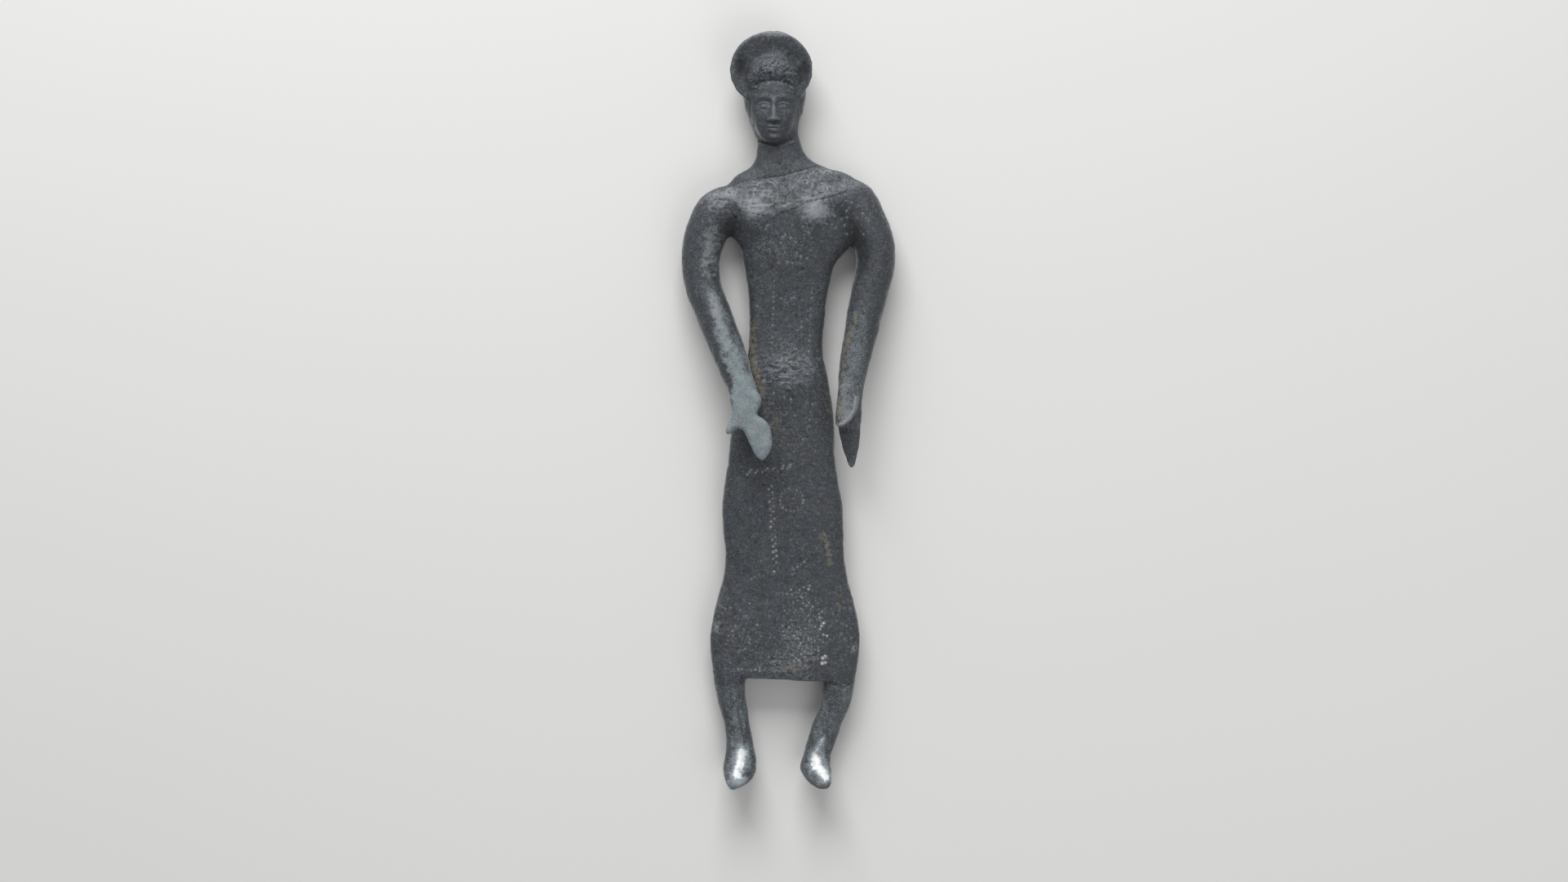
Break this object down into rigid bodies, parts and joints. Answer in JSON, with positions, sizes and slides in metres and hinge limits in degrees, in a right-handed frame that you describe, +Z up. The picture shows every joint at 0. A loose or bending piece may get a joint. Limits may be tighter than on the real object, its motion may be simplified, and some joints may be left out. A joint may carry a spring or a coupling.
{
  "type": "bronze figurine",
  "caption": "Slender cast bronze votive figurine of a standing woman in a long dress and brimmed headdress, arms held off the body, lying on its back.",
  "frame": {"origin": "under the middle of the figure's outline, on the surface that it lies on", "axes": "+Y from the feet to the top of the headdress, +Z up out of the figure's front, +X across it to the viewer's right"},
  "size_m": [0.0678, 0.2401, 0.0227],
  "materials": {
    "bronze": "dark slate-grey patina, semi-matt, with pale blue-green corrosion on the forearms, hands and feet"
  },
  "bodies": {
    "root": {"figurine": "bronze"}
  },
  "joints": []
}
